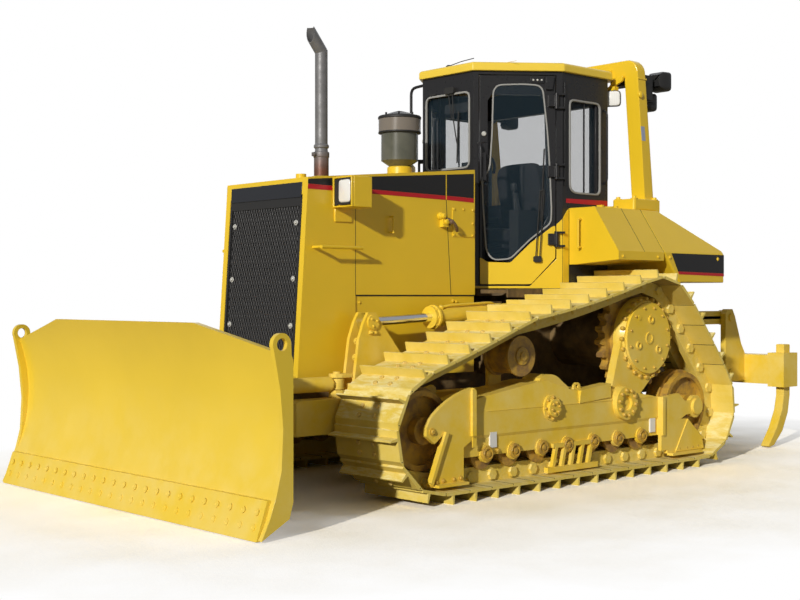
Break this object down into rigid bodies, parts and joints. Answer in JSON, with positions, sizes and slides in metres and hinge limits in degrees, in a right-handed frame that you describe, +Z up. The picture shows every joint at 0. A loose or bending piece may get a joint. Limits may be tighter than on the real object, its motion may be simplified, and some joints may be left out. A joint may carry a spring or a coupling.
{
  "type": "crawler bulldozer",
  "caption": "Crawler bulldozer with a raised rear drive sprocket, six-way blade on an inside C-frame, enclosed cab with roll-over frame and a parallelogram ripper.",
  "frame": {"origin": "on the ground, under the middle of the machine's overall length and width", "axes": "+X forward, +Y to the operator's left, +Z up"},
  "size_m": [5.85, 2.89, 3],
  "materials": {
    "machine_yellow": "gloss yellow paint, dusty low down",
    "cab_black": "satin black paint",
    "grille_black": "matt black paint",
    "frame_dark": "dusty dark frame and castings",
    "shoe_steel": "track shoes worn and dusted pale",
    "dark_steel": "oily brown running gear",
    "edge_steel": "painted cutting edge, scuffed",
    "rod_chrome": "ground and chromed",
    "stack_steel": "grey pipe, rust at its foot",
    "tinted_glass": "dark tinted",
    "seat_vinyl": "dark vinyl",
    "console_plastic": "dark grey"
  },
  "bodies": {
    "chassis": {"track_left": "shoe_steel", "track_right": "shoe_steel", "sprockets": "dark_steel", "idlers": "dark_steel", "rollers": "dark_steel", "final_drives": "machine_yellow", "track_frame_left": "machine_yellow", "track_frame_right": "machine_yellow", "main_frame": "frame_dark", "engine_block": "frame_dark", "hood": "machine_yellow", "side_panels": "machine_yellow", "radiator_guard": "machine_yellow", "grille": "grille_black", "headlamp": "machine_yellow", "exhaust_stack": "stack_steel", "precleaner": "grille_black", "cab_shell": "cab_black", "cab_roof": "machine_yellow", "cab_glass": "tinted_glass", "seat": "seat_vinyl", "controls": "console_plastic", "platform": "frame_dark", "rops": "machine_yellow", "rear_lamps": "grille_black", "fenders": "machine_yellow", "rear_tank": "machine_yellow", "ripper_mount": "frame_dark"},
    "door_left": {"door_left": "cab_black", "door_glass_left": "tinted_glass"},
    "door_right": {"door_right": "cab_black", "door_glass_right": "tinted_glass"},
    "c_frame": {"c_frame": "machine_yellow"},
    "blade_yoke": {"blade_yoke": "machine_yellow"},
    "blade": {"moldboard": "machine_yellow", "cutting_edge": "edge_steel"},
    "lift_barrels": {"lift_barrels": "machine_yellow"},
    "lift_rods": {"lift_rods": "rod_chrome"},
    "angle_barrel_left": {"angle_barrel_left": "machine_yellow"},
    "angle_rod_left": {"angle_rod_left": "rod_chrome"},
    "angle_barrel_right": {"angle_barrel_right": "machine_yellow"},
    "angle_rod_right": {"angle_rod_right": "rod_chrome"},
    "tilt_barrel": {"tilt_barrel": "machine_yellow"},
    "tilt_rod": {"tilt_rod": "rod_chrome"},
    "ripper_lower_link": {"ripper_lower_link": "machine_yellow"},
    "ripper_upper_links": {"ripper_upper_links": "machine_yellow"},
    "ripper_tool": {"ripper_beam": "machine_yellow", "ripper_shanks": "machine_yellow"},
    "ripper_barrels": {"ripper_barrels": "machine_yellow"},
    "ripper_rods": {"ripper_rods": "rod_chrome"}
  },
  "joints": [
    {"name": "door_left_hinge", "type": "hinge", "parent": "chassis", "child": "door_left", "pos_m": [-0.2545, 0.6433, 2], "axis": [0, 0, 1], "range_deg": [0, 75]},
    {"name": "door_right_hinge", "type": "hinge", "parent": "chassis", "child": "door_right", "pos_m": [-0.2545, -0.6433, 2], "axis": [0, 0, -1], "range_deg": [0, 75]},
    {"name": "blade_lift", "type": "hinge", "parent": "chassis", "child": "c_frame", "pos_m": [-0.065, 0, 0.5], "axis": [0, -1, 0], "range_deg": [-7.5, 21]},
    {"name": "blade_angle", "type": "hinge", "parent": "c_frame", "child": "blade_yoke", "pos_m": [2.385, 0, 0.48], "axis": [0, 0, 1], "range_deg": [-23, 23]},
    {"name": "blade_tilt", "type": "hinge", "parent": "blade_yoke", "child": "blade", "pos_m": [2.635, 0, 0.48], "axis": [1, 0, 0], "range_deg": [-7, 7]},
    {"name": "lift_barrels_swing", "type": "hinge", "parent": "chassis", "child": "lift_barrels", "pos_m": [0.185, 0, 1.13], "axis": [0, -1, 0], "range_deg": [-10, 27]},
    {"name": "lift_rods_slide", "type": "slide", "parent": "lift_barrels", "child": "lift_rods", "axis": [0.9991, 0, -0.0429], "range_m": [-0.225, 0.085]},
    {"name": "angle_barrel_left_swing", "type": "hinge", "parent": "c_frame", "child": "angle_barrel_left", "pos_m": [1.695, 0.56, 0.7], "axis": [0, 0, 1], "range_deg": [-4.2, 4.2]},
    {"name": "angle_rod_left_slide", "type": "slide", "parent": "angle_barrel_left", "child": "angle_rod_left", "axis": [0.9989, -0.0465, 0], "range_m": [-0.22, 0.22]},
    {"name": "angle_barrel_right_swing", "type": "hinge", "parent": "c_frame", "child": "angle_barrel_right", "pos_m": [1.695, -0.56, 0.7], "axis": [0, 0, 1], "range_deg": [-4.2, 4.2]},
    {"name": "angle_rod_right_slide", "type": "slide", "parent": "angle_barrel_right", "child": "angle_rod_right", "axis": [0.9989, 0.0465, 0], "range_m": [-0.22, 0.22]},
    {"name": "tilt_barrel_swing", "type": "hinge", "parent": "blade_yoke", "child": "tilt_barrel", "pos_m": [2.613, -0.12, 0.9], "axis": [1, 0, 0], "range_deg": [-6.2, 6.2]},
    {"name": "tilt_rod_slide", "type": "slide", "parent": "tilt_barrel", "child": "tilt_rod", "axis": [0, 1, 0], "range_m": [-0.055, 0.055]},
    {"name": "ripper_lift", "type": "hinge", "parent": "chassis", "child": "ripper_lower_link", "pos_m": [-1.585, 0, 0.6], "axis": [0, 1, 0], "range_deg": [-25, 30]},
    {"name": "ripper_upper_swing", "type": "hinge", "parent": "chassis", "child": "ripper_upper_links", "pos_m": [-1.585, 0, 1.06], "axis": [0, 1, 0], "range_deg": [-25, 30]},
    {"name": "ripper_tool_swing", "type": "hinge", "parent": "ripper_lower_link", "child": "ripper_tool", "pos_m": [-2.525, 0, 0.6], "axis": [0, 1, 0], "range_deg": [-30, 25]},
    {"name": "ripper_barrels_swing", "type": "hinge", "parent": "chassis", "child": "ripper_barrels", "pos_m": [-1.545, 0, 1.08], "axis": [0, 1, 0], "range_deg": [-19.5, 23.5]},
    {"name": "ripper_rods_slide", "type": "slide", "parent": "ripper_barrels", "child": "ripper_rods", "axis": [-0.932, 0, -0.3624], "range_m": [-0.19, 0.16]}
  ],
  "couplings": [
    {"joint": "lift_barrels_swing", "follows": "blade_lift", "ratio": 1.262},
    {"joint": "lift_rods_slide", "follows": "blade_lift", "m_per_rad": -0.598},
    {"joint": "angle_barrel_left_swing", "follows": "blade_angle", "ratio": 0.168},
    {"joint": "angle_rod_left_slide", "follows": "blade_angle", "m_per_rad": -0.5223},
    {"joint": "angle_barrel_right_swing", "follows": "blade_angle", "ratio": 0.168},
    {"joint": "angle_rod_right_slide", "follows": "blade_angle", "m_per_rad": 0.5223},
    {"joint": "tilt_barrel_swing", "follows": "blade_tilt", "ratio": 0.829},
    {"joint": "tilt_rod_slide", "follows": "blade_tilt", "m_per_rad": -0.4224},
    {"joint": "ripper_upper_swing", "follows": "ripper_lift", "ratio": 1},
    {"joint": "ripper_tool_swing", "follows": "ripper_lift", "ratio": -1},
    {"joint": "ripper_barrels_swing", "follows": "ripper_lift", "ratio": 0.76},
    {"joint": "ripper_rods_slide", "follows": "ripper_lift", "m_per_rad": -0.35}
  ]
}
